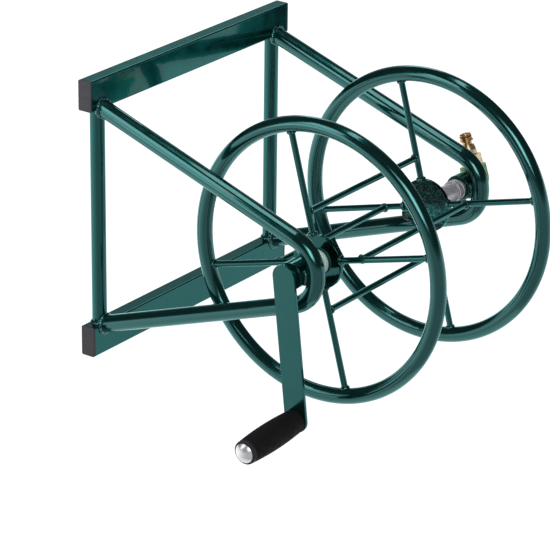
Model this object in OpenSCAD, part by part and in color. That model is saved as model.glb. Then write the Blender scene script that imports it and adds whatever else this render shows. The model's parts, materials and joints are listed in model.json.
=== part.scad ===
// Wall mounted hose reel, in millimetres.
// X runs to the right as seen from the front, Y runs into the wall and Z runs up.
// The wall is the plane y = 0, and the origin is the middle of the four keyholes.
// The crank is on the left side, and the water comes in on the right side.

/* [Wall frame] */
// Overall height of the wall frame
frame_h = 370; // [350:5:460]
// Reach of the wall bars past the centre plane of a side, with their end caps
bar_over = 24; // [20:1:60]
// Height of a wall bar
bar_h = 40; // [34:1:50]
// Depth of a wall bar
bar_d = 20; // [20:1:26]
// Wall thickness of a wall bar
bar_wall = 2; // [1.5:0.1:3]
// Outer corner radius of a wall bar
bar_corner = 2; // [1:0.25:3]
// Outer diameter of a post
post_d = 19; // [15:0.5:20]
// Outer diameter of an arm
arm_d = 22; // [18:0.5:25]
// Wall thickness of the posts, arms and rims
tube_wall = 1.5; // [1:0.1:2.5]
// Centre line radius of the bend in an arm
arm_bend_r = 45.3; // [40:0.5:60]
// Height of the middle of an arm's end above the lower edge of the top bar
arm_rise = 0.8; // [0:0.2:5]

/* [End caps] */
// Thickness of a cap's plate
cap_t = 3; // [2:0.5:5]
// Depth of a cap's plug inside the bar
plug_l = 14; // [8:1:20]
// Wall thickness of a cap's plug
plug_wall = 1.8; // [1.2:0.1:3]

/* [Keyholes] */
// Distance from the centre plane of a side to the keyholes next to it
keyhole_in = 24; // [17:1:60]
// Diameter of a keyhole's round entry
keyhole_d = 12; // [10:0.5:14]
// Width of a keyhole's slot
keyhole_slot = 5.5; // [4.5:0.25:6.5]
// Travel from the entry up to the seat of the screw
keyhole_drop = 9.5; // [8:0.5:11]

/* [Bearings] */
// Distance from the wall to the axle
axle_out = 318; // [300:2:360]
// Outer diameter of a bearing tube
bearing_d = 35; // [32:0.5:44]
// Wall thickness of a bearing tube
bearing_wall = 3; // [2:0.25:4]
// Reach of the left bearing tube past the outer face of its arm
left_proud = 5; // [2:0.5:8]
// Reach of the right bearing tube past the outer face of its arm
right_proud = 1; // [0.5:0.5:8]
// Depth of a bush's plain end inside its bearing tube
bush_in = 3; // [1:0.5:6]
// Thickness of the flange on a nylon bush
flange_t = 2.5; // [1.5:0.25:4]

/* [Drum] */
// Distance between the middle planes of the two wheels
drum_w = 238; // [200:1:280]
// Distance from the left arm's inner face to the middle plane of the left wheel
left_wheel_in = 34; // [20:1:36]
// Centre line radius of a rim
rim_r = 173.7; // [150:1:190]
// Outer diameter of a rim's tube
rim_d = 20; // [16:0.5:24]
// Diameter of the spokes and the cross rods
rod_d = 8; // [6:0.5:10]
// Turn of the spokes away from upright, toward the wall
spoke_turn = 15.25; // [0:0.25:45]
// Radius at which the cross rods stand
drum_r = 63; // [50:1:90]
// Diameter of a hub disc
hub_d = 70; // [60:1:85]
// Thickness of a hub disc
hub_t = 6; // [4:0.5:8]

/* [Crank] */
// Diameter of the crank shaft
shaft_d = 16; // [12:0.5:20]
// Diameter of the nylon washer on the shaft
washer_d = 34; // [26:1:44]
// Thickness of the nylon washer on the shaft
washer_t = 6; // [3:0.5:10]
// Diameter of the collar between the bearing and the crank
collar_d = 26; // [22:1:32]
// Length of the collar at the axle
collar_l = 8; // [7.5:0.5:14]
// Distance from the axle to the handle
crank_r = 185; // [140:5:195]
// Width of the crank's flat bar
crank_w = 32; // [24:1:36]
// Thickness of the crank's flat bar
crank_t = 4; // [3:0.5:6]
// Reach of the crank's upper end past the axle
crank_top = 18.5; // [18:0.5:26]
// Lean of the crank toward the frame at its lower end, in degrees
crank_lean = 2; // [0:0.25:2]
// Turn of the crank forward from hanging straight down, in degrees
crank_turn = 5; // [0:1:20]

/* [Handle] */
// Diameter of the handle spindle
spindle_d = 8; // [6:0.5:10]
// Distance across the flats of the spindle's nut
nut_af = 13; // [13:0.5:17]
// Thickness of the spindle's nut
nut_t = 5; // [3:0.25:5]
// Length of the grip with its end ring
grip_l = 105; // [85:1:125]
// Diameter of the grip at its ends
grip_end_d = 30; // [24:0.5:34]
// Swell of the grip's diameter at its middle
grip_swell = 5; // [1:0.5:6]
// Length of the ring at the grip's outer end
ring_l = 5; // [3:0.5:8]
// Diameter of the domed cap
dome_d = 25; // [20:0.5:28]
// Height of the domed cap
dome_h = 6; // [4:0.5:8]

/* [Water pipe] */
// Outer diameter of the water axle and of the stub
pipe_d = 21.3; // [20:0.1:22]
// Bore of the water axle
pipe_bore = 14; // [10:0.5:15]
// Length of the stub between the right hub disc and the tee
stub_l = 12; // [6:1:40]
// Length of a joint's thread
thread_l = 9; // [7:0.5:10]
// Diameter of a nipple's thread
thread_d = 20.9; // [19:0.1:21]
// Distance from the tee's middle to each of its faces
tee_reach = 28; // [27:0.5:32]
// Diameter of the tee's body
tee_d = 24; // [23:0.5:26]
// Diameter of the bands at the tee's mouths
tee_band_d = 28; // [26.5:0.5:32]
// Turn of the tee's branch below level, on the side of the wall, in degrees
tee_turn = 35; // [0:1:90]
// Thickness of the O-ring on the water axle
axle_ring_t = 1.8; // [1.2:0.1:2.2]
// Thickness of the snap ring that holds the inlet on the water axle
snap_ring_t = 1.6; // [1.2:0.1:1.8]

/* [Inlet] */
// Diameter of the inlet's hub, which runs on the water axle
inlet_d = 33; // [30:0.5:34]
// Diameter of the inlet's branch
branch_d = 35; // [34.5:0.5:40]
// Turn of the inlet from upright toward the wall, in degrees
inlet_turn = 18.5; // [0:0.5:60]

/* [Nipples] */
// Distance across the flats of a nipple's hexagon
hex_af = 25; // [24:0.5:28]
// Length of a nipple's hexagon
hex_l = 14; // [8:0.5:16]
// Length of a nipple's thread
nipple_thread_l = 7; // [5:0.5:8]
// Diameter of a nipple's tip
tip_d = 15.2; // [14:0.1:16]
// Diameter of a nipple's shoulder, which a hose coupling grips
shoulder_d = 17.2; // [16.6:0.1:18]
// Diameter of a nipple's waist
waist_d = 12; // [11:0.1:13]
// Bore of a nipple
nipple_bore = 8.5; // [6:0.5:8.5]
// Thickness of the flat seal under a nipple
seal_t = 1.4; // [1:0.1:2.5]
// Thickness of the O-ring on a nipple's tip
tip_ring_t = 2.2; // [1.6:0.1:2.4]

/* [Hidden] */
$fn = 96;

// Clearances
run_gap = 0.05;
fit_gap = 0.05;
end_gap = 0.3;
screw_gap = 0.2;

// Colours
enamel = [0.16, 0.40, 0.37];
dark_plastic = [0.28, 0.28, 0.31];
nylon = [0.78, 0.89, 0.83];
black = [0.10, 0.10, 0.11];
chrome = [0.85, 0.86, 0.88];
zinc = [0.60, 0.58, 0.61];
brass = [0.80, 0.66, 0.36];
sage = [0.42, 0.57, 0.43];
fibre = [0.52, 0.24, 0.18];
steel = [0.55, 0.56, 0.58];

// Width of the frame, which follows the drum and the tee between the arms
tee_gap = 3;
arm_in_x = (left_wheel_in + drum_w + hub_t/2 + stub_l + 2*tee_reach + tee_gap)/2;
side_x = arm_in_x + arm_d/2;

// Wall frame, worked out
bar_end_x = side_x + bar_over;
bar_mid_z = frame_h/2 - bar_h/2;
bar_in_z = frame_h/2 - bar_h;
post_y = bar_d - post_d/2;

// Arms, in a plane with u out from the wall and v up
arm_root_v = bar_in_z + arm_rise;
bend_u = axle_out + bearing_d/2 - (arm_bend_r - arm_d/2);
root_to_bend = norm([bend_u - bar_d, arm_root_v]);
arm_slope = atan2(arm_root_v, bend_u - bar_d) - asin(arm_bend_r/root_to_bend);
leg_l = sqrt(root_to_bend*root_to_bend - arm_bend_r*arm_bend_r);

// Bearings, worked out
left_bearing_x = side_x + arm_d/2 + left_proud;
right_bearing_x = side_x + arm_d/2 + right_proud;
bearing_bore = bearing_d - 2*bearing_wall;
flange_d = bearing_d - 2;

// Drum, worked out
left_wheel_x = -arm_in_x + left_wheel_in;
right_wheel_x = left_wheel_x + drum_w;
spoke_l = rim_r - rim_d/2 - hub_d/2;

// Crank, worked out
crank_x = left_bearing_x + end_gap + collar_l;
crank_end_r = crank_w/2;
grip_x = crank_t + end_gap;
dome_x = grip_x + grip_l + end_gap;
dome_seat = 3.5;
dome_r = (dome_d*dome_d/4 + dome_h*dome_h)/(2*dome_h);
swell_r = (grip_l*grip_l/4 + grip_swell*grip_swell/4)/grip_swell;
swell_fn = 1440;
grip_round = 1.5;

// Water side, worked out from the right bearing outward
tee_x = arm_in_x - tee_gap - tee_reach;
band_l = thread_l + 1;
body_x = right_bearing_x + flange_t + end_gap;
hub_proud = 0.8;
branch_x = body_x + hub_proud + branch_d/2;
inlet_bore = 12;
chamber_d = pipe_d + 3;
chamber_start = inlet_bore/2 + 0.5;
chamber_end = 9;
axle_start_x = tee_x + tee_reach - thread_l;
axle_end_x = branch_x - chamber_start + 1;
snap_ring_x = body_x + 3.5;
axle_ring_x = body_x + 8;
snap_ring_w = snap_ring_t + 2*fit_gap;
thread_gap = 0.5;
inlet_rise = pipe_d/2 + thread_gap + nipple_thread_l + fit_gap;
ball_d = branch_d - 0.6;

// Nipple, heights above the face that it is screwed onto
neck_d = 19.5;
neck_top = seal_t + hex_l + 7;
cone_end_d = 16.6;
cone_top = neck_top + 6.2;
waist_top = cone_top + 4.6;
shoulder_top = waist_top + 3.4;
tip_top = shoulder_top + 7.4;
tip_ring_mid = shoulder_top + 3.4;
tip_ring_proud = 0.5;

// Order of the spokes and rods, a quarter turn apart
QUARTERS = ["top", "back", "bottom", "front"];

// Shapes

module rounded_rect(w, h, r) {
    square([w - 2*r, h], center = true);
    square([w, h - 2*r], center = true);
    for (x = [-1, 1], y = [-1, 1])
        translate([x*(w/2 - r), y*(h/2 - r)]) circle(r);
}

// Extrudes along +X from x
module along_x(x, l) {
    translate([x, 0, 0]) rotate([90, 0, 90]) linear_extrude(l) children();
}

// Cylinder along +X from x
module rod_x(x, l, d) {
    translate([x, 0, 0]) rotate([0, 90, 0]) cylinder(d = d, h = l);
}

// Tube along +X from x
module tube_x(x, l, d, bore) {
    difference() {
        rod_x(x, l, d);
        rod_x(x - 1, l + 2, bore);
    }
}

module o_ring(d, t) {
    rotate_extrude() translate([d/2, 0]) circle(d = t, $fn = 32);
}

// Hexagon prism on z = 0, whose corners are turned down to a cone at both ends
module hexagon(af, l) {
    corner_r = af/2/cos(30);
    chamfer = (corner_r - af/2)/2;
    intersection() {
        cylinder(r = corner_r, h = l, $fn = 6);
        rotate_extrude() polygon([
            [0, 0], [af/2, 0], [corner_r, chamfer], [corner_r, l - chamfer], [af/2, l], [0, l]
        ]);
    }
}

// Places children on the axle
module at_axle() {
    translate([0, -axle_out, 0]) children();
}

// Places children in a side's plane, with x out from the wall, y up and z toward the left
module side_plane(x) {
    translate([x, 0, 0]) rotate([90, 0, -90]) children();
}

// Turns children about the axle, so that +Z becomes the given spoke
module at_spoke(quarter) {
    at_axle() rotate([-spoke_turn - 90*quarter, 0, 0]) children();
}

// Wall frame

module keyhole() {
    l = bar_wall + 2;
    rotate([90, 0, 0]) translate([0, 0, -1]) {
        cylinder(d = keyhole_d, h = l);
        translate([0, keyhole_drop, 0]) cylinder(d = keyhole_slot, h = l);
        translate([-keyhole_slot/2, 0, 0]) cube([keyhole_slot, keyhole_drop, l]);
    }
}

// A wall bar, above the middle for level 1 and below it for level -1
module wall_bar(level) {
    half_l = bar_end_x - cap_t;
    inner_corner = max(bar_corner - bar_wall, 0.5);
    color(enamel) translate([0, 0, level*bar_mid_z]) difference() {
        along_x(-half_l, 2*half_l) translate([-bar_d/2, 0])
            rounded_rect(bar_d, bar_h, bar_corner);
        along_x(-half_l - 1, 2*half_l + 2) translate([-bar_d/2, 0])
            rounded_rect(bar_d - 2*bar_wall, bar_h - 2*bar_wall, inner_corner);
        for (side = [-1, 1])
            translate([side*(side_x - keyhole_in), 0, 0]) keyhole();
    }
}

// An end cap, on the left for side -1 and on the right for side 1
module end_cap(side, level) {
    plug_d = bar_d - 2*bar_wall - 2*fit_gap;
    plug_h = bar_h - 2*bar_wall - 2*fit_gap;
    plug_corner = 0.8;
    color(dark_plastic) translate([0, 0, level*bar_mid_z]) mirror([side < 0 ? 1 : 0, 0, 0]) {
        along_x(bar_end_x - cap_t, cap_t) translate([-bar_d/2, 0])
            rounded_rect(bar_d, bar_h, bar_corner);
        difference() {
            along_x(bar_end_x - cap_t - plug_l, plug_l) translate([-bar_d/2, 0])
                rounded_rect(plug_d, plug_h, plug_corner);
            along_x(bar_end_x - cap_t - plug_l - 1, plug_l) translate([-bar_d/2, 0])
                square([plug_d - 2*plug_wall, plug_h - 2*plug_wall], center = true);
        }
    }
}

module post(side) {
    color(enamel) translate([side*side_x, -post_y, -bar_in_z]) difference() {
        cylinder(d = post_d, h = 2*bar_in_z);
        translate([0, 0, -1]) cylinder(d = post_d - 2*tube_wall, h = 2*bar_in_z + 2);
    }
}

// Solid path of an arm, as thick as d
module arm_path(d) {
    sweep = 180 - 2*arm_slope;
    translate([bend_u, 0, 0]) {
        rotate([0, 0, -sweep/2]) rotate_extrude(angle = sweep)
            translate([arm_bend_r, 0]) circle(d = d);
        for (end = [-1, 1])
            rotate([0, 0, end*sweep/2]) translate([arm_bend_r, 0, 0])
                rotate([-90*end, 0, 0]) cylinder(d = d, h = leg_l + d);
    }
}

module arm(side) {
    color(enamel) side_plane(side*side_x) difference() {
        arm_path(arm_d);
        arm_path(arm_d - 2*tube_wall);
        translate([bar_d - 4*arm_d, -frame_h/2, -arm_d]) cube([4*arm_d, frame_h, 2*arm_d]);
    }
}

module bearing_tube(side) {
    start = side < 0 ? -left_bearing_x : arm_in_x;
    end = side < 0 ? -arm_in_x : right_bearing_x;
    color(enamel) at_axle() tube_x(start, end - start, bearing_d, bearing_bore);
}

// The left bush has its flange inside the frame, where the drum's side is
module left_bush() {
    bore = shaft_d + 2*run_gap;
    l = left_bearing_x - arm_in_x - bush_in;
    color(nylon) at_axle() {
        tube_x(-arm_in_x - l, l, bearing_bore - 2*fit_gap, bore);
        tube_x(-arm_in_x, flange_t, flange_d, bore);
    }
}

// The right bush has its flange outside, where the inlet body runs against it
module right_bush() {
    bore = pipe_d + 2*run_gap;
    l = right_bearing_x - arm_in_x - bush_in;
    color(nylon) at_axle() {
        tube_x(right_bearing_x - l, l, bearing_bore - 2*fit_gap, bore);
        tube_x(right_bearing_x, flange_t, flange_d, bore);
    }
}

// Drum

module rim(x) {
    color(enamel) at_axle() translate([x, 0, 0]) rotate([0, 90, 0])
        rotate_extrude() translate([rim_r, 0]) difference() {
            circle(d = rim_d);
            circle(d = rim_d - 2*tube_wall);
        }
}

module hub_disc(x, bore) {
    color(enamel) at_axle() tube_x(x - hub_t/2, hub_t, hub_d, bore + 2*fit_gap);
}

module spoke(x, quarter) {
    color(enamel) at_spoke(quarter) translate([x, 0, hub_d/2])
        cylinder(d = rod_d, h = spoke_l);
}

module cross_rod(quarter) {
    color(enamel) at_spoke(quarter) translate([0, 0, drum_r])
        rod_x(left_wheel_x + rod_d/2, drum_w - rod_d, rod_d);
}

// Crank, in a frame whose origin is where the axle meets the inner face of the flat bar

module at_crank() {
    at_axle() translate([-crank_x, 0, 0]) rotate([-crank_turn, 0, 0])
        rotate([0, -crank_lean, 0]) children();
}

// Cuts off what lies beyond the inner face of the flat bar
module crank_face_cut() {
    reach = 2*crank_w;
    difference() {
        children();
        at_crank() translate([-reach, -reach/2, -reach/2]) cube([reach, reach, reach]);
    }
}

module crank_shaft() {
    end_x = left_wheel_x + hub_t/2;
    color(enamel) crank_face_cut() at_axle()
        rod_x(-crank_x - crank_t/2, end_x + crank_x + crank_t/2, shaft_d);
}

module hub_washer() {
    color(nylon) at_axle()
        tube_x(left_wheel_x - hub_t/2 - washer_t, washer_t, washer_d, shaft_d + 2*fit_gap);
}

module crank_collar() {
    color(enamel) crank_face_cut() at_axle()
        tube_x(-crank_x - crank_t/2, collar_l + crank_t/2, collar_d, shaft_d + 2*fit_gap);
}

module crank_arm() {
    color(enamel) at_crank() difference() {
        translate([-crank_t, 0, 0]) rotate([90, 0, 90]) linear_extrude(crank_t) {
            translate([0, crank_top - crank_end_r]) circle(crank_end_r);
            translate([0, -crank_r]) circle(crank_end_r);
            translate([-crank_w/2, -crank_r]) square([crank_w, crank_r + crank_top - crank_end_r]);
        }
        translate([0, 0, -crank_r]) rod_x(-crank_t - 1, crank_t + 2, spindle_d + 2*screw_gap);
    }
}

// Handle, whose axis stands square to the flat bar at its lower end

module at_handle() {
    at_crank() translate([0, 0, -crank_r]) children();
}

module handle_spindle() {
    color(steel) at_handle() rod_x(-dome_x - dome_seat, dome_x + dome_seat + nut_t, spindle_d);
}

module handle_nut() {
    color(enamel) at_handle() difference() {
        rotate([0, 90, 0]) hexagon(nut_af, nut_t);
        rod_x(-1, nut_t + 2, spindle_d + 2*fit_gap);
    }
}

// The domed cap is the part of a sphere that stands above its flat face
module handle_cap() {
    color(chrome) at_handle() difference() {
        translate([-dome_x - dome_h + dome_r, 0, 0]) rotate([0, 90, 0]) sphere(dome_r);
        translate([-dome_x, -dome_r, -dome_r]) cube([2*dome_r, 2*dome_r, 2*dome_r]);
        rod_x(-dome_x - dome_seat, dome_seat + 1, spindle_d + 2*fit_gap);
    }
}

// Outline of the whole grip, turned about its length
module grip_outline() {
    r = grip_end_d/2 + grip_swell/2;
    intersection() {
        translate([r - swell_r, grip_l/2]) circle(swell_r, $fn = swell_fn);
        polygon([
            [0, 0], [grip_end_d/2 - grip_round, 0], [r, r - grip_end_d/2 + grip_round],
            [r, grip_l - r + grip_end_d/2 - grip_round],
            [grip_end_d/2 - grip_round, grip_l], [0, grip_l]
        ]);
    }
}

// Part of the grip between two lengths from its inner end
module grip_piece(from, to) {
    bore_r = spindle_d/2 + 2*run_gap;
    at_handle() translate([-grip_x, 0, 0]) rotate([0, -90, 0]) rotate_extrude()
        intersection() {
            grip_outline();
            translate([bore_r, from]) square([grip_end_d + grip_swell, to - from]);
        }
}

module grip() {
    color(black) grip_piece(0, grip_l - ring_l);
}

module grip_end_ring() {
    color(dark_plastic) grip_piece(grip_l - ring_l, grip_l);
}

// Water side

module hub_stub() {
    start = right_wheel_x - hub_t/2;
    color(enamel) at_axle() rod_x(start, tee_x - tee_reach + thread_l - start, pipe_d);
}

// One mouth of the tee, along +Z from the tee's middle
module tee_mouth() {
    bead = 1.2;
    cylinder(d = tee_d, h = tee_reach - bead);
    translate([0, 0, tee_reach - band_l]) cylinder(d = tee_band_d - bead, h = band_l);
    for (z = [tee_reach - band_l, tee_reach - bead])
        translate([0, 0, z]) rotate_extrude()
            translate([tee_band_d/2 - bead, 0]) circle(bead);
}

module outlet_tee() {
    socket_l = thread_l + fit_gap;
    color(zinc) at_axle() translate([tee_x, 0, 0]) difference() {
        union() {
            for (side = [-90, 90])
                rotate([0, side, 0]) tee_mouth();
            rotate([-90 - tee_turn, 0, 0]) tee_mouth();
        }
        rod_x(-tee_reach - 1, 2*tee_reach + 2, pipe_bore);
        for (side = [-90, 90])
            rotate([0, side, 0]) translate([0, 0, tee_reach - socket_l])
                cylinder(d = pipe_d + 2*fit_gap, h = socket_l + 1);
        rotate([-90 - tee_turn, 0, 0]) {
            cylinder(d = pipe_bore, h = tee_reach + 1);
            translate([0, 0, tee_reach - nipple_thread_l - fit_gap])
                cylinder(d = thread_d + 2*fit_gap, h = nipple_thread_l + 1);
        }
    }
}

module water_axle() {
    groove_w = axle_ring_t + 2*fit_gap;
    groove_d = pipe_d - 2*axle_ring_t - 2*fit_gap;
    color(zinc) at_axle() difference() {
        tube_x(axle_start_x, axle_end_x - axle_start_x, pipe_d, pipe_bore);
        tube_x(axle_ring_x - groove_w/2, groove_w, 2*pipe_d, groove_d);
        tube_x(snap_ring_x - snap_ring_w/2, snap_ring_w, 2*pipe_d, pipe_d - snap_ring_w);
    }
}

module axle_o_ring() {
    color(black) at_axle() translate([axle_ring_x, 0, 0]) rotate([0, 90, 0])
        o_ring(pipe_d - axle_ring_t, axle_ring_t);
}

// The snap ring lies half in the axle and half in the inlet body, and is open at its lower side
module axle_snap_ring() {
    opening = 4;
    color(steel) at_axle() translate([snap_ring_x, 0, 0]) difference() {
        rotate([0, 90, 0]) o_ring(pipe_d, snap_ring_t);
        translate([-snap_ring_t, -opening/2, -pipe_d]) cube([2*snap_ring_t, opening, pipe_d]);
    }
}

// Places children on the branch of the inlet, with +Z out of it
module at_inlet() {
    at_axle() translate([branch_x, 0, 0]) rotate([-inlet_turn, 0, 0]) children();
}

// The inlet body is a hub on the water axle, a ball that closes it and a branch for the nipple
module inlet_body() {
    socket_l = nipple_thread_l + fit_gap;
    color(sage) difference() {
        union() {
            at_axle() rod_x(body_x, branch_x - body_x, inlet_d);
            at_axle() translate([branch_x, 0, 0]) sphere(d = ball_d);
            at_inlet() cylinder(d = branch_d, h = inlet_rise);
        }
        at_axle() {
            rod_x(body_x - 1, axle_end_x - body_x + 1, pipe_d + 2*run_gap);
            rod_x(snap_ring_x - snap_ring_w/2, snap_ring_w, pipe_d + snap_ring_w);
            rod_x(branch_x - chamber_start, chamber_start + chamber_end, chamber_d);
        }
        at_inlet() cylinder(d = inlet_bore, h = inlet_rise);
        at_inlet() translate([0, 0, inlet_rise - socket_l])
            cylinder(d = thread_d + 2*fit_gap, h = socket_l + 1);
    }
}

// Nipple that a hose coupling clicks onto, with z = 0 on the face that it is screwed onto

module nipple() {
    color(brass) difference() {
        union() {
            translate([0, 0, -nipple_thread_l]) cylinder(d = thread_d, h = nipple_thread_l + seal_t);
            translate([0, 0, seal_t]) hexagon(hex_af, hex_l);
            rotate_extrude() nipple_outline();
        }
        translate([0, 0, -nipple_thread_l - 1])
            cylinder(d = nipple_bore, h = nipple_thread_l + tip_top + 2);
        translate([0, 0, tip_ring_mid]) rotate_extrude()
            translate([tip_d/2 + tip_ring_proud - tip_ring_t - fit_gap, -tip_ring_t/2 - fit_gap])
                square([2*tip_ring_t, tip_ring_t + 2*fit_gap]);
    }
}

module nipple_outline() {
    slope = (shoulder_d - waist_d)/4;
    polygon([
        [0, seal_t], [neck_d/2, seal_t], [neck_d/2, neck_top], [cone_end_d/2, cone_top],
        [waist_d/2, cone_top], [waist_d/2, waist_top], [shoulder_d/2, waist_top + slope/2],
        [shoulder_d/2, shoulder_top], [tip_d/2, shoulder_top],
        [tip_d/2, tip_top - 1], [tip_d/2 - 1, tip_top], [0, tip_top]
    ]);
}

module nipple_seal() {
    color(fibre) difference() {
        cylinder(d = hex_af - 1, h = seal_t);
        translate([0, 0, -1]) cylinder(d = thread_d + 2*fit_gap, h = seal_t + 2);
    }
}

module nipple_o_ring() {
    color(black) translate([0, 0, tip_ring_mid])
        o_ring(tip_d + 2*tip_ring_proud - tip_ring_t, tip_ring_t);
}

// Places children on the tee's branch, with +Z out of it
module at_outlet() {
    at_axle() translate([tee_x, 0, 0]) rotate([-90 - tee_turn, 0, 0])
        translate([0, 0, tee_reach]) children();
}

module at_inlet_face() {
    at_inlet() translate([0, 0, inlet_rise]) children();
}

wall_bar(1);  // top_wall_bar
wall_bar(-1);  // bottom_wall_bar
end_cap(-1, 1);  // cap_top_left
end_cap(1, 1);  // cap_top_right
end_cap(-1, -1);  // cap_bottom_left
end_cap(1, -1);  // cap_bottom_right
post(-1);  // left_post
post(1);  // right_post
arm(-1);  // left_arm
arm(1);  // right_arm
bearing_tube(-1);  // left_bearing_tube
bearing_tube(1);  // right_bearing_tube
left_bush();
right_bush();
rim(left_wheel_x);  // left_rim
rim(right_wheel_x);  // right_rim
hub_disc(left_wheel_x, shaft_d);  // left_hub_disc
hub_disc(right_wheel_x, pipe_d);  // right_hub_disc
for (quarter = [0:3]) {
    name = QUARTERS[quarter];
    spoke(left_wheel_x, quarter);
    spoke(right_wheel_x, quarter);
    cross_rod(quarter);
}
crank_shaft();
hub_washer();
crank_collar();
crank_arm();
handle_spindle();
handle_nut();
handle_cap();
grip();
grip_end_ring();
hub_stub();
outlet_tee();
at_outlet() nipple_seal();  // outlet_seal
at_outlet() nipple();  // outlet_nipple
at_outlet() nipple_o_ring();  // outlet_nipple_o_ring
water_axle();
axle_o_ring();
axle_snap_ring();
inlet_body();
at_inlet_face() nipple_seal();  // inlet_seal
at_inlet_face() nipple();  // inlet_nipple
at_inlet_face() nipple_o_ring();  // inlet_nipple_o_ring
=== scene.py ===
"""Looks of the wall mounted hose reel: its finishes, weld beads and photo studio."""

import json
import math

import bmesh
import bpy
from mathutils import Matrix, Vector, noise

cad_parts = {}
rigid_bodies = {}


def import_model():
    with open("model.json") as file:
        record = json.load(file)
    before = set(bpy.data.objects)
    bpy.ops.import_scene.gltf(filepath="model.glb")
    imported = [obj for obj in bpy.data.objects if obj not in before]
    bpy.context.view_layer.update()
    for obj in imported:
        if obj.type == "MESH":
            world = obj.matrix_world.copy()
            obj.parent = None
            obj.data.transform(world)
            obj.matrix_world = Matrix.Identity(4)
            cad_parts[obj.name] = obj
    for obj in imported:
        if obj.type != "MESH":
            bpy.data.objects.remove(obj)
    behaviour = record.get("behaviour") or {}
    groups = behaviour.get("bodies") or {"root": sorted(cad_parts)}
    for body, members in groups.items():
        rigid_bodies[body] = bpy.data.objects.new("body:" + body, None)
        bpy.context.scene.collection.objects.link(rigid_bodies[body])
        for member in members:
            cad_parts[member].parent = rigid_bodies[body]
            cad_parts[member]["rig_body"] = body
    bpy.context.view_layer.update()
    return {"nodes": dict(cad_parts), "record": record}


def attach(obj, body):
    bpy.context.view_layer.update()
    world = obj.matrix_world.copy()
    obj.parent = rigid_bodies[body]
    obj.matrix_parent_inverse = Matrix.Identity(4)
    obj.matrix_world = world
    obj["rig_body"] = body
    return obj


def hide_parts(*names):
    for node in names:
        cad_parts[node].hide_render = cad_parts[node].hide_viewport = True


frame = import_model()

X, Y, Z = Vector((1, 0, 0)), Vector((0, 1, 0)), Vector((0, 0, 1))

# Sizes that the looks share with the model, in metres

AXLE = Vector((0, -0.318, 0))
SIDE_X = 0.184
BAR_FRONT_Y = -0.020
BAR_INNER_Z = 0.145
POST_RADIUS = 0.0095
POST_Y = -0.0105
ARM_RADIUS = 0.011
ARM_SLOPE = math.radians(19.19)
ARM_ROOT_Z = 0.1458
BEARING_RADIUS = 0.0175
LEFT_WHEEL_X, RIGHT_WHEEL_X = -0.139, 0.099
HUB_RADIUS = 0.035
HUB_HALF = 0.003
RIM_INNER = 0.1637
ROD_RADIUS = 0.004
ROD_CIRCLE = 0.063
SPOKE_TURN = math.radians(15.25)
SHAFT_RADIUS = 0.008
PIPE_RADIUS = 0.01065
INLET_TURN = math.radians(18.5)
OUTLET_TURN = math.radians(125)

# A Mix node has several sockets of one name, so they go by number

NUMBER_A, NUMBER_B, NUMBER_OUT = 2, 3, 0
COLOUR_A, COLOUR_B, COLOUR_OUT = 6, 7, 2


def linear(red, green, blue):
    """Scene-linear colour of an sRGB colour given from 0 to 255."""
    def channel(value):
        value /= 255
        return value/12.92 if value <= 0.04045 else ((value + 0.055)/1.055)**2.4
    return (channel(red), channel(green), channel(blue), 1)


def new_material(name):
    made = bpy.data.materials.new(name)
    made.use_nodes = True
    return made


def set_inputs(node, **settings):
    """Sets a node's sockets, whose names are given with _ for each space."""
    for socket, value in settings.items():
        node.inputs[socket.replace("_", " ")].default_value = value


# Materials

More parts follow.
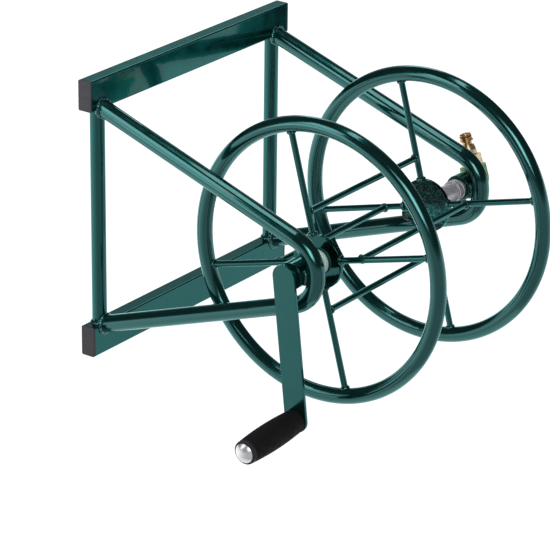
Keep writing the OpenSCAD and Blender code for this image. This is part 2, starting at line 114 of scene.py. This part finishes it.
class Look:
    """A material under construction.

    Its textures lie in the row frame at rest, and their grain is in metres.
    """

    NOISE_LOW, NOISE_HIGH = 0.3, 0.7    # a noise texture seldom goes past these
    WAVE_PITCH = 0.314                  # of a wave texture whose scale is 1

    def __init__(self, name, **settings):
        self.material = new_material(name)
        self.tree = self.material.node_tree
        self.shader = self.tree.nodes["Principled BSDF"]
        self.place = self.node("ShaderNodeTexCoord").outputs["Object"]
        self.normal = None
        set_inputs(self.shader, **settings)

    def node(self, kind, **settings):
        made = self.tree.nodes.new(kind)
        for name, value in settings.items():
            setattr(made, name, value)
        return made

    def link(self, source, target):
        self.tree.links.new(source, target)

    def mapped(self, **settings):
        """The place, turned or scaled first."""
        made = self.node("ShaderNodeMapping")
        set_inputs(made, **settings)
        self.link(self.place, made.inputs["Vector"])
        return made.outputs["Vector"]

    def noise(self, grain, detail=2.0, rough=0.5, stretch=None):
        """Cloudy texture from 0 to 1, whose spots are about as wide as grain."""
        made = self.node("ShaderNodeTexNoise")
        set_inputs(made, Scale=1/grain, Detail=detail, Roughness=rough)
        place = self.mapped(Scale=stretch) if stretch else self.place
        self.link(place, made.inputs["Vector"])
        return made.outputs["Fac"]

    def cells(self, grain):
        """Distance to the middle of each of the crystals, which are grain wide."""
        made = self.node("ShaderNodeTexVoronoi")
        set_inputs(made, Scale=1/grain)
        self.link(self.place, made.inputs["Vector"])
        return made.outputs["Distance"]

    def rings(self, pitch, turn):
        """Turning marks about an axis that is tilted from Z about X by turn."""
        made = self.node("ShaderNodeTexWave", bands_direction="Z")
        set_inputs(made, Scale=self.WAVE_PITCH/pitch, Distortion=0.6)
        self.link(self.mapped(Rotation=(turn, 0, 0)), made.inputs["Vector"])
        return made.outputs["Fac"]

    def height(self):
        """Height above the middle of the keyholes, in metres, while at rest."""
        made = self.node("ShaderNodeSeparateXYZ")
        self.link(self.place, made.inputs[0])
        return made.outputs["Z"]

    def ramp(self, factor, start, end, low=0, high=1):
        """Goes from low to high while factor goes from start to end."""
        made = self.node("ShaderNodeMapRange")
        set_inputs(made, From_Min=start, From_Max=end, To_Min=low, To_Max=high)
        self.link(factor, made.inputs["Value"])
        return made.outputs["Result"]

    def colour(self, base, *layers):
        """Base colour with (factor, colour) pairs laid over it."""
        below = None
        for factor, tint in layers:
            made = self.node("ShaderNodeMix", data_type="RGBA")
            if below is None:
                made.inputs[COLOUR_A].default_value = base
            else:
                self.link(below, made.inputs[COLOUR_A])
            made.inputs[COLOUR_B].default_value = tint
            self.link(factor, made.inputs["Factor"])
            below = made.outputs[COLOUR_OUT]
        self.link(below, self.shader.inputs["Base Color"])

    def clouds(self, dark, light, grain, detail):
        """Base colour in clouds of two sRGB colours."""
        self.colour(linear(*dark), (self.noise(grain, detail), linear(*light)))

    def rough(self, low, high, grain, detail=2.0):
        """Roughness that drifts from low to high, in spots of that grain."""
        spots = self.noise(grain, detail)
        drift = self.ramp(spots, self.NOISE_LOW, self.NOISE_HIGH, low, high)
        self.link(drift, self.shader.inputs["Roughness"])

    def bump(self, height, depth, coat=False):
        """Adds relief of that depth, in metres, on top of any before it."""
        made = self.node("ShaderNodeBump")
        set_inputs(made, Distance=depth)
        self.link(height, made.inputs["Height"])
        if self.normal is not None:
            self.link(self.normal, made.inputs["Normal"])
        self.normal = made.outputs["Normal"]
        self.link(self.normal, self.shader.inputs["Normal"])
        if coat:
            self.link(self.normal, self.shader.inputs["Coat Normal"])


ENAMEL = (25, 82, 80), (31, 90, 88)     # its dark and its light clouds, in sRGB
ENAMEL_EDGE = (0.05, 0.75, 0.75, 1)     # what it mirrors at a grazing angle, linear


def enamel_look(name, metallic, skin, skin_roughness):
    """Green gloss. Its pigment tints what it mirrors, under a clear skin."""
    return Look(
        name, Metallic=metallic, Specular_Tint=ENAMEL_EDGE,
        Coat_Weight=skin, Coat_Roughness=skin_roughness,
    )


def enamel(name, skin):
    """The finish of bars and tubes, with faint waves and a fine orange peel."""
    look = enamel_look(name, 0.9, skin, 0.03)
    look.clouds(*ENAMEL, 0.06, 3)
    look.rough(0.13, 0.19, 0.015)
    look.bump(look.noise(0.04, 1), 0.0002, coat=True)
    look.bump(look.noise(0.0035, 1), 0.000004, coat=True)
    return look.material


def weld_enamel():
    """The same enamel over the weld beads, thick and lumpy, with small sharp glints."""
    look = enamel_look("green_enamel_welds", 0.9, 0.8, 0.02)
    look.clouds(*ENAMEL, 0.006, 3)
    look.rough(0.1, 0.2, 0.004)
    look.bump(look.noise(0.005, 1), 0.0005, coat=True)
    return look.material


def left_hub_enamel():
    """Thick smooth enamel, which mirrors more sharply than on the tubes. Its green is
    painted darker than the enamel elsewhere, as a painted dark reflection.
    """
    look = enamel_look("green_enamel_left_hub", 0.95, 0.4, 0.02)
    # Painted dark reflection: a darker green than the enamel on the rest of the reel.
    look.clouds((14, 72, 70), (20, 82, 80), 0.02, 3)
    look.rough(0.07, 0.12, 0.006)
    look.bump(look.noise(0.012, 2), 0.0002, coat=True)
    return look.material


def right_hub_enamel():
    """Enamel that crawled into wrinkles, painted dark all over as a painted dark
    reflection, with a lighter band under the middle that is a painted reflection of a
    bright area.
    """
    look = enamel_look("green_enamel_right_hub", 0.95, 0.25, 0.04)
    # Painted light: the dark colour is a painted dark reflection over the whole disc
    # and its stub, and the lighter band below the middle is a painted reflection.
    painted_dark_reflection = linear(8, 42, 40)
    painted_reflection_top, painted_reflection_bottom = (0.008, -0.002), (-0.014, -0.022)
    height = look.height()
    look.colour(
        painted_dark_reflection,
        (look.ramp(height, *painted_reflection_top), linear(34, 94, 88)),
        (look.ramp(height, *painted_reflection_bottom), painted_dark_reflection),
        (look.ramp(look.noise(0.006, 3), 0.5, 0.66), painted_dark_reflection),
    )
    look.rough(0.1, 0.16, 0.006)
    look.bump(look.noise(0.007, 1, stretch=(1, 1, 1.5)), 0.0014, coat=True)
    return look.material


def dark_plastic():
    look = Look("dark_plastic", Specular_IOR_Level=0.35)
    look.clouds((58, 58, 64), (72, 72, 78), 0.01, 4)
    look.rough(0.5, 0.7, 0.004)
    look.bump(look.noise(0.0007, 2), 0.00006)
    return look.material


def grip_ring_plastic():
    look = Look("dark_plastic_ring", Specular_IOR_Level=0.2)
    look.clouds((36, 36, 39), (48, 48, 52), 0.008, 4)
    look.rough(0.5, 0.7, 0.004)
    look.bump(look.noise(0.0007, 2), 0.00005)
    return look.material


def nylon():
    look = Look(
        "nylon", Subsurface_Weight=0.25, Subsurface_Scale=0.004,
        Subsurface_Radius=(1, 1, 1),
    )
    look.clouds((214, 250, 238), (230, 253, 246), 0.01, 3)
    look.rough(0.32, 0.45, 0.006)
    look.bump(look.noise(0.002, 2), 0.00004)
    return look.material


# The nylon bushes sit deep in the bearing tubes: this dark teal in place of their pale
# nylon is painted shade.
def nylon_in_painted_shade():
    look = Look("nylon_painted_shade", Specular_IOR_Level=0.4)
    look.clouds((20, 44, 42), (30, 56, 54), 0.01, 3)
    look.rough(0.3, 0.42, 0.006)
    look.bump(look.noise(0.002, 2), 0.00004)
    return look.material


def grip_black():
    look = Look("grip_black", Specular_IOR_Level=0.12)
    look.clouds((19, 19, 21), (28, 28, 30), 0.012, 4)
    look.rough(0.66, 0.85, 0.006)
    look.bump(look.noise(0.0011, 3, 0.6), 0.00016)
    return look.material


def chrome():
    look = Look("chrome", Metallic=0.9)
    look.clouds((210, 214, 216), (220, 224, 226), 0.01, 2)
    look.rough(0.3, 0.38, 0.002, 4)
    look.bump(look.noise(0.004, 2), 0.00001)
    return look.material


def galvanised():
    """Zinc in cloudy patches, with paler middles to its crystals."""
    look = Look("galvanised", Metallic=0.6)
    look.colour(
        linear(178, 174, 180),
        (look.ramp(look.noise(0.006, 4, 0.6), 0.35, 0.65), linear(230, 226, 230)),
        (look.ramp(look.cells(0.004), 0.9, 0.2), linear(204, 199, 205)),
    )
    look.rough(0.32, 0.5, 0.003, 3)
    look.bump(look.noise(0.003, 3), 0.0002)
    return look.material


def brass(name, turn, pale_end, dark_end, tip_colour, spots):
    """Turned brass with spots, pale at the height pale_end and turning to tip_colour at
    the height dark_end.
    """
    look = Look(name, Metallic=0.9)
    look.colour(
        linear(255, 238, 188),
        (look.ramp(look.height(), pale_end, dark_end), linear(*tip_colour)),
        (look.ramp(look.noise(0.005, 3), 0.5, 0.75), linear(*spots)),
    )
    look.rough(0.24, 0.38, 0.003)
    look.bump(look.rings(0.0006, turn), 0.00003)
    return look.material


def inlet_green():
    look = Look("inlet_green", Specular_IOR_Level=0.35)
    look.clouds((98, 164, 88), (122, 184, 108), 0.01, 4)
    look.rough(0.32, 0.5, 0.005)
    look.bump(look.noise(0.0015, 3), 0.00012)
    return look.material


def rubber(name, dark, light):
    look = Look(name, Specular_IOR_Level=0.35)
    look.clouds(dark, light, 0.004, 2)
    look.rough(0.5, 0.7, 0.002)
    look.bump(look.noise(0.0006, 2), 0.00002)
    return look.material


def fibre():
    look = Look("fibre", Specular_IOR_Level=0.2)
    look.clouds((120, 58, 44), (146, 78, 58), 0.002, 5)
    look.rough(0.7, 0.9, 0.002)
    look.bump(look.noise(0.0005, 3), 0.00006)
    return look.material


def steel():
    look = Look("steel", Metallic=1.0)
    look.clouds((140, 142, 146), (160, 162, 166), 0.004, 3)
    look.rough(0.28, 0.42, 0.002, 3)
    look.bump(look.noise(0.002, 2, stretch=(1, 1, 8)), 0.00003)
    return look.material


SLOTS = {part["node"]: part["material_slot"] for part in frame["record"]["subparts"]}
SLOT_FINISHES = {
    "green_enamel": enamel("green_enamel", 0.4),
    "dark_plastic": dark_plastic(),
    "nylon": nylon(),
    "steel": steel(),
    "chrome": chrome(),
    "grip_black": grip_black(),
    "galvanised": galvanised(),
    "fibre": fibre(),
    "rubber": rubber("rubber", (22, 22, 23), (32, 32, 33)),
    "inlet_green": inlet_green(),
}
TUBE_ENAMEL = enamel("green_enamel_tubes", 0.65)
WELD_ENAMEL = weld_enamel()
RIGHT_HUB_ENAMEL = right_hub_enamel()
NYLON_IN_PAINTED_SHADE = nylon_in_painted_shade()
OWN_FINISHES = {
    "left_rim": TUBE_ENAMEL,
    "right_rim": TUBE_ENAMEL,
    "left_arm": TUBE_ENAMEL,
    "right_arm": TUBE_ENAMEL,
    # The bushes get painted shade, a dark teal, in place of their pale nylon.
    "left_bush": NYLON_IN_PAINTED_SHADE,
    "right_bush": NYLON_IN_PAINTED_SHADE,
    "left_hub_disc": left_hub_enamel(),
    "right_hub_disc": RIGHT_HUB_ENAMEL,
    "hub_stub": RIGHT_HUB_ENAMEL,
    "grip_end_ring": grip_ring_plastic(),
    "inlet_nipple": brass(
        "brass_inlet", INLET_TURN, pale_end=0.035, dark_end=0.05,
        tip_colour=(212, 170, 116), spots=(146, 98, 52),
    ),
    # Painted shade: the outlet nipple's tip colour and spots are dark, so that its tip
    # recedes into the shade by the right hub disc.
    "outlet_nipple": brass(
        "brass_outlet", OUTLET_TURN, pale_end=-0.012, dark_end=-0.03,
        tip_colour=(72, 64, 50), spots=(84, 70, 52),
    ),
    "inlet_nipple_o_ring": rubber("brown_rubber", (96, 64, 36), (112, 78, 46)),
}


def paint(piece, material):
    piece.data.materials.clear()
    piece.data.materials.append(material)


def finish_of(node):
    """A CAD node's own finish, or else the one of its material slot."""
    return OWN_FINISHES[node] if node in OWN_FINISHES else SLOT_FINISHES[SLOTS[node]]


for node, piece in frame["nodes"].items():
    paint(piece, finish_of(node))


# Pieces whose sharp CAD edges get the small round that the real ones have

SAME_CORNER = 2e-6                      # corners nearer than this are one, in metres
SAME_FACE = math.radians(0.4)           # flatter edges than this are dropped
CREASE = math.radians(32)               # sharper edges than this are shaded as creases
ROUNDED_EDGE = math.radians(35)         # sharper edges than this are rounded
ROUNDS = {                              # how far each round reaches, in metres
    "cap_top_left": 0.0009, "cap_top_right": 0.0009,
    "cap_bottom_left": 0.0009, "cap_bottom_right": 0.0009,
    "left_hub_disc": 0.0007, "right_hub_disc": 0.0007,
    "left_bearing_tube": 0.0005, "right_bearing_tube": 0.0005,
    "crank_arm": 0.0005, "crank_collar": 0.0005, "hub_washer": 0.0004,
    "handle_nut": 0.0004,
}


def add_object(name, data, place=Matrix.Identity(4)):
    made = bpy.data.objects.new(name, data)
    bpy.context.scene.collection.objects.link(made)
    made.matrix_world = place
    return made


def smooth(mesh, crease):
    """Smooth shading, with a crease wherever two faces meet at more than that."""
    mesh.polygons.foreach_set("use_smooth", [True]*len(mesh.polygons))
    mesh.set_sharp_from_angle(angle=crease)


def copy_of(node, name):
    """A piece with the CAD node's shape, its corners joined and its flats whole."""
    mesh = bpy.data.meshes.new(name)
    made = bmesh.new()
    made.from_mesh(frame["nodes"][node].data)
    bmesh.ops.remove_doubles(made, verts=made.verts, dist=SAME_CORNER)
    bmesh.ops.dissolve_limit(
        made, angle_limit=SAME_FACE, verts=made.verts, edges=made.edges
    )
    made.to_mesh(mesh)
    made.free()
    return add_object(name, mesh)


def apply_modifiers(piece):
    """Bakes the piece's modifiers into its mesh."""
    bpy.context.view_layer.update()
    shown = piece.evaluated_get(bpy.context.evaluated_depsgraph_get())
    mesh = bpy.data.meshes.new_from_object(shown)
    piece.modifiers.clear()
    old = piece.data
    piece.data = mesh
    bpy.data.meshes.remove(old)


def stand_in(piece, node):
    """Shows the piece in place of the CAD node, on its body and in its finish."""
    paint(piece, finish_of(node))
    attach(piece, frame["nodes"][node]["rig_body"])
    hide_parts(node)


for node, width in ROUNDS.items():
    piece = copy_of(node, node + "_rounded")
    smooth(piece.data, CREASE)
    bevel = piece.modifiers.new("edges", "BEVEL")
    bevel.width = width
    bevel.segments = 2
    bevel.limit_method = "ANGLE"
    bevel.angle_limit = ROUNDED_EDGE
    bevel.harden_normals = True
    apply_modifiers(piece)
    stand_in(piece, node)


# Weld beads, with sizes in metres

NEAREST_WALL_Y = -0.0004                # beads are flattened this far off the wall
POST_BEAD, ARM_BEAD, BEARING_BEAD = 0.0029, 0.0034, 0.0030      # radii of the beads
RIM_BEAD, HUB_BEAD, ROD_BEAD, AXLE_BEAD = 0.0022, 0.0026, 0.0021, 0.0022
BEARING_BEAD_X = 0.0078                 # left and right of the arm's centre line
BEARING_BEAD_LIFT = 0.0012              # off the bearing tube
BEARING_BEAD_REACH = math.radians(34)   # up and down from the bend's middle
RIM_BEAD_SINK = 0.0006                  # off the rim, toward the hub


class Beads:
    """Collects weld beads into one mesh."""

    SIDES = 10                  # corners of a ring round a bead
    STEP = 0.0005               # from ring to ring, in metres
    FEWEST_STEPS = 8
    PROBE = 0.001               # share of a path over which its direction is taken
    END, END_GROWTH = 0.35, 6   # an open bead's thickness at its ends, and its growth
    PUDDLE = 1.1                # length of a puddle of metal, in radii
    CORE, RIPPLE, LUMP = 0.92, 0.07, 0.26   # shares of the radius
    LUMPS = 320                 # lumps to the metre
    CREASE = math.radians(60)

    def __init__(self, name):
        self.name = name
        self.mesh = bmesh.new()

    def thickness(self, along, point, radius, seed):
        """The radius there, with a ripple for each puddle and uneven lumps."""
        ripple = abs(math.sin(math.pi*along/(self.PUDDLE*radius)))
        lump = noise.noise(point*self.LUMPS + Vector((seed, 0, 0)))
        return radius*(self.CORE + self.RIPPLE*ripple + self.LUMP*lump)

    def run(self, path, outward, length, radius, closed, seed):
        """A bead along path(t), t from 0 to 1, which leans outward(t) off the metal."""
        steps = max(self.FEWEST_STEPS, round(length/self.STEP))
        rings = []
        for i in range(steps if closed else steps + 1):
            t = i/steps
            point = path(t)
            ahead = (path(t + self.PROBE) - path(t - self.PROBE)).normalized()
            side = ahead.cross(outward(t)).normalized()
            out = side.cross(ahead)
            thick = self.thickness(t*length, point, radius, seed)
            if not closed:
                thick *= min(1, self.END + self.END_GROWTH*min(t, 1 - t))
            rings.append([
                self.mesh.verts.new(point + thick*(math.cos(a)*out + math.sin(a)*side))
                for a in (2*math.pi*k/self.SIDES for k in range(self.SIDES))
            ])
        self.skin(rings, closed)

    def skin(self, rings, closed):
        pairs = list(zip(rings, rings[1:]))
        if closed:
            pairs.append((rings[-1], rings[0]))
        for here, there in pairs:
            for k in range(self.SIDES):
                n = (k + 1) % self.SIDES
                self.mesh.faces.new((here[k], here[n], there[n], there[k]))
        if not closed:
            self.mesh.faces.new(rings[0])
            self.mesh.faces.new(reversed(rings[-1]))

    def loop(self, centre, first, second, radius, seed):
        """A bead round an ellipse with the half axes first and second."""
        def path(t):
            return centre + math.cos(2*math.pi*t)*first + math.sin(2*math.pi*t)*second
        def outward(t):
            return (path(t) - centre).normalized()
        length = math.pi*(first.length + second.length)
        self.run(path, outward, length, radius, True, seed)

    def ride(self, body):
        for vertex in self.mesh.verts:
            vertex.co.y = min(vertex.co.y, NEAREST_WALL_Y)
        bmesh.ops.recalc_face_normals(self.mesh, faces=self.mesh.faces)
        mesh = bpy.data.meshes.new(self.name)
        self.mesh.to_mesh(mesh)
        self.mesh.free()
        smooth(mesh, self.CREASE)
        piece = add_object(self.name, mesh)
        paint(piece, WELD_ENAMEL)
        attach(piece, body)


def bearing_bead(beads, x):
    """A short bead where a bearing tube lies in the bend of its arm."""
    def outward(t):
        angle = (2*t - 1)*BEARING_BEAD_REACH
        return Vector((0, -math.cos(angle), math.sin(angle)))
    def path(t):
        return AXLE + x*X + (BEARING_RADIUS + BEARING_BEAD_LIFT)*outward(t)
    length = 2*BEARING_BEAD_REACH*BEARING_RADIUS
    beads.run(path, outward, length, BEARING_BEAD, False, seed=x)


def frame_welds():
    """Posts and arms on the bars, and bearing tubes in the arms."""
    beads = Beads("frame_welds")
    arm_across, arm_up = ARM_RADIUS*X, ARM_RADIUS/math.cos(ARM_SLOPE)*Z
    for side in (-1, 1):
        x = side*SIDE_X
        for level in (-1, 1):
            end = Vector((x, POST_Y, level*BAR_INNER_Z))
            beads.loop(end, POST_RADIUS*X, POST_RADIUS*Y, POST_BEAD, seed=x*level)
            root = Vector((x, BAR_FRONT_Y, level*ARM_ROOT_Z))
            beads.loop(root, arm_across, arm_up, ARM_BEAD, seed=2*x*level)
        for offset in (-BEARING_BEAD_X, BEARING_BEAD_X):
            bearing_bead(beads, x + offset)
    beads.ride("frame")


def reel_welds():
    """Spokes on rims and hub discs, cross rods on spokes, shaft and pipe on discs."""
    beads = Beads("reel_welds")
    rim_end = RIM_INNER - RIM_BEAD_SINK
    for x, inward in ((LEFT_WHEEL_X, 1), (RIGHT_WHEEL_X, -1)):
        for quarter in range(4):
            angle = SPOKE_TURN + quarter*math.pi/2
            along = Vector((0, math.sin(angle), math.cos(angle)))
            across = ROD_RADIUS*along.cross(X)
            for reach, bead in ((rim_end, RIM_BEAD), (HUB_RADIUS, HUB_BEAD)):
                end = AXLE + x*X + reach*along
                beads.loop(end, ROD_RADIUS*X, across, bead, seed=quarter + x)
            end = AXLE + (x + inward*ROD_RADIUS)*X + ROD_CIRCLE*along
            beads.loop(end, ROD_RADIUS*along, across, ROD_BEAD, seed=quarter - x)
    shaft, pipe = (LEFT_WHEEL_X, SHAFT_RADIUS, 5), (RIGHT_WHEEL_X, PIPE_RADIUS, 6)
    for x, radius, seed in (shaft, pipe):
        place = AXLE + (x + HUB_HALF)*X
        beads.loop(place, radius*Y, radius*Z, AXLE_BEAD, seed)
    beads.ride("reel")


frame_welds()
reel_welds()


# The photograph's studio. Azimuths go from the front toward the right, and
# elevations up from the horizon.

def direction(azimuth, elevation):
    """Unit vector that points there. Both angles are in radians."""
    return (
        math.sin(azimuth)*math.cos(elevation),
        -math.cos(azimuth)*math.cos(elevation),
        math.sin(elevation),
    )


def camera():
    """The camera, solved from the straight edges and the wheels in the photograph."""
    azimuth, elevation, roll = (math.radians(a) for a in (-54.304, 22.505, 0.697))
    distance, sideways, upward = 3.84935, -0.03338, -0.08747
    target = Vector((0, -0.193, 0))
    back = Vector(direction(azimuth, elevation))
    level = Z.cross(back).normalized()
    steep = back.cross(level)
    right = math.cos(roll)*level + math.sin(roll)*steep
    up = -math.sin(roll)*level + math.cos(roll)*steep
    place = Matrix((right, up, back)).transposed().to_4x4()
    place.translation = target + distance*back + sideways*right + upward*up
    data = bpy.data.cameras.new("camera")
    data.sensor_width = 36
    data.lens = 198.0
    bpy.context.scene.camera = add_object("camera", data, place)


def aimed(position, target):
    """Placement of a lamp at position that shines at target."""
    back = (Vector(position) - Vector(target)).normalized()
    level = Z.cross(back).normalized()
    place = Matrix((level, back.cross(level), back)).transposed().to_4x4()
    place.translation = Vector(position)
    return place


def softbox(name, position, size, brightness, target):
    """A soft lamp that looks brightness times as bright as the studio's white paper."""
    data = bpy.data.lights.new(name, "AREA")
    data.shape = "RECTANGLE"
    data.size, data.size_y = size
    data.energy = brightness*math.pi*size[0]*size[1]
    lamp = add_object(name, data, aimed(position, target))
    lamp.visible_camera = False


def link_background_rays(tree, socket):
    """Sends 1 to the socket for rays that see the background itself, else 0."""
    rays = tree.nodes.new("ShaderNodeLightPath")
    seen = rays.outputs["Is Camera Ray"]
    for kind in ("Is Glossy Ray", "Is Transmission Ray"):
        either = tree.nodes.new("ShaderNodeMath")
        either.operation = "MAXIMUM"
        tree.links.new(seen, either.inputs[0])
        tree.links.new(rays.outputs[kind], either.inputs[1])
        seen = either.outputs[0]
    tree.links.new(seen, socket)


def world():
    """White where it is seen, and soft light from all round on the object."""
    soft, white = 0.35, 1.0
    made = bpy.data.worlds.new("studio")
    made.use_nodes = True
    tree = made.node_tree
    mix = tree.nodes.new("ShaderNodeMix")
    mix.inputs[NUMBER_A].default_value = soft
    mix.inputs[NUMBER_B].default_value = white
    link_background_rays(tree, mix.inputs["Factor"])
    background = tree.nodes["Background"]
    background.inputs["Color"].default_value = (1, 1, 1, 1)
    tree.links.new(mix.outputs[NUMBER_OUT], background.inputs["Strength"])
    bpy.context.scene.world = made


def studio_mesh(name, points, faces, material):
    mesh = bpy.data.meshes.new(name)
    mesh.from_pydata(points, [], faces)
    mesh.materials.append(material)
    return add_object(name, mesh)


def floor():
    """A white floor, so far below the reel that views from below are above it too.

    It glows to those who look at it, and the lamps add the rest of its white.
    """
    reach, height, glow = 40, -8.0, 0.85
    material = new_material("pale_floor")
    tree = material.node_tree
    shader = tree.nodes["Principled BSDF"]
    set_inputs(
        shader, Base_Color=(0.8, 0.8, 0.8, 1), Roughness=0.9, Specular_IOR_Level=0.0,
        Emission_Color=(1, 1, 1, 1),
    )
    lift = tree.nodes.new("ShaderNodeMath")
    lift.operation = "MULTIPLY"
    lift.inputs[1].default_value = glow
    link_background_rays(tree, lift.inputs[0])
    tree.links.new(lift.outputs[0], shader.inputs["Emission Strength"])
    material.cycles.emission_sampling = "NONE"
    corners = ((-reach, -reach), (reach, -reach), (reach, reach), (-reach, reach))
    points = [(x, y, height) for x, y in corners]
    studio_mesh("floor", points, [(0, 1, 2, 3)], material)


def between(value, start, end):
    """Rises smoothly from 0 at start to 1 at end, or falls where end is the lower."""
    share = min(1, max(0, (value - start)/(end - start)))
    return share*share*(3 - 2*share)


def band(value, low, high, soft):
    """1 from low to high, and 0 further than soft outside them."""
    return between(value, low - soft, low)*between(value, high + soft, high)


def surround(azimuth, elevation):
    """How bright the studio looks there, where white paper is 1. Angles in degrees.

    It is dark above the horizon, but for a paler patch at the right rear. It is
    nearly white below, darker in front, and brighter at the right and the wall.
    """
    horizon = 7
    above = 0.06 + 0.32*band(azimuth, 95, 145, 15)*band(elevation, 5, 38, 8)
    front = 0.38*band(azimuth, -68, 0, 38)*band(elevation, -46, 10, 12)
    right = 0.32*band(azimuth, 45, 75, 20)*band(elevation, -19, 10, 8)
    wall = 0.5*between(abs(azimuth), 105, 135)
    below = 0.92 - front + right + wall
    return below + (above - below)*between(elevation, 0, horizon)


def show_in_reflections_only(piece):
    piece.visible_camera = False
    piece.visible_diffuse = False
    piece.visible_shadow = False


def studio_walls():
    """Cloths and walls round the reel, which only its reflections show.

    They are a dome that ends below in a flat ring, whose hole shows the floor.
    """
    radius, bottom = 3.4, 0.97
    step, lowest = 4, -52
    columns, rows = 360//step, (90 - lowest)//step + 1
    points, shades, faces = [], [], []
    for row in range(rows):
        elevation = min(90, lowest + row*step)
        e = math.radians(elevation)
        away = radius if e >= 0 else min(radius, bottom/-math.sin(e))
        for column in range(columns):
            azimuth = -180 + column*step
            ray = direction(math.radians(azimuth), e)
            points.append([away*part for part in ray])
            shades += [surround(azimuth, elevation)]*3 + [1]
    for row in range(rows - 1):
        low, high = row*columns, (row + 1)*columns
        for column in range(columns):
            beside = (column + 1) % columns
            faces.append((low + column, low + beside, high + beside, high + column))
    material = new_material("studio_walls")
    tree = material.node_tree
    shade = tree.nodes.new("ShaderNodeAttribute")
    shade.attribute_name = "shade"
    glow = tree.nodes.new("ShaderNodeEmission")
    tree.links.new(shade.outputs["Color"], glow.inputs["Color"])
    tree.links.new(glow.outputs[0], tree.nodes["Material Output"].inputs["Surface"])
    material.cycles.emission_sampling = "NONE"
    piece = studio_mesh("studio_walls", points, faces, material)
    attribute = piece.data.color_attributes.new("shade", "FLOAT_COLOR", "POINT")
    attribute.data.foreach_set("color", shades)
    show_in_reflections_only(piece)


def dark_cloth(name, corners):
    """A dark cloth close to the reel, which only its reflections show."""
    material = new_material(name)
    shader = material.node_tree.nodes["Principled BSDF"]
    set_inputs(shader, Base_Color=(0.02, 0.02, 0.02, 1))
    show_in_reflections_only(studio_mesh(name, corners, [(0, 1, 2, 3)], material))


CENTRE = (0, -0.25, 0)
LEFT_SIDE = (-0.15, -0.25, 0.1)
UNDER_STRIP = (0, -0.1001, 0)   # a hair aside, so that the lamp has a level side

camera()
world()
floor()
studio_walls()
dark_cloth("right_cloth", [
    (0.75, -0.25, -0.1), (0.75, -0.5, -0.1), (0.75, -0.5, 0.5), (0.75, -0.25, 0.5),
])
softbox("left_box_high", (-0.80, 0.12, 0.62), (0.34, 0.44), 3.0, LEFT_SIDE)
softbox("left_box_low", (-0.80, 0.12, 0.20), (0.34, 0.40), 1.8, LEFT_SIDE)
softbox("front_box", (-1.45, -1.45, 1.05), (1.2, 1.0), 2.8, CENTRE)
softbox("front_core", (-1.42, -1.425, 1.03), (0.3, 0.9), 5.0, CENTRE)
softbox("right_box", (1.5, 0.9, 1.2), (0.7, 0.5), 2.5, CENTRE)
softbox("top_strip", (0, -0.1, 1.9), (1.7, 0.26), 3.2, UNDER_STRIP)
bpy.context.scene.view_settings.view_transform = "Standard"
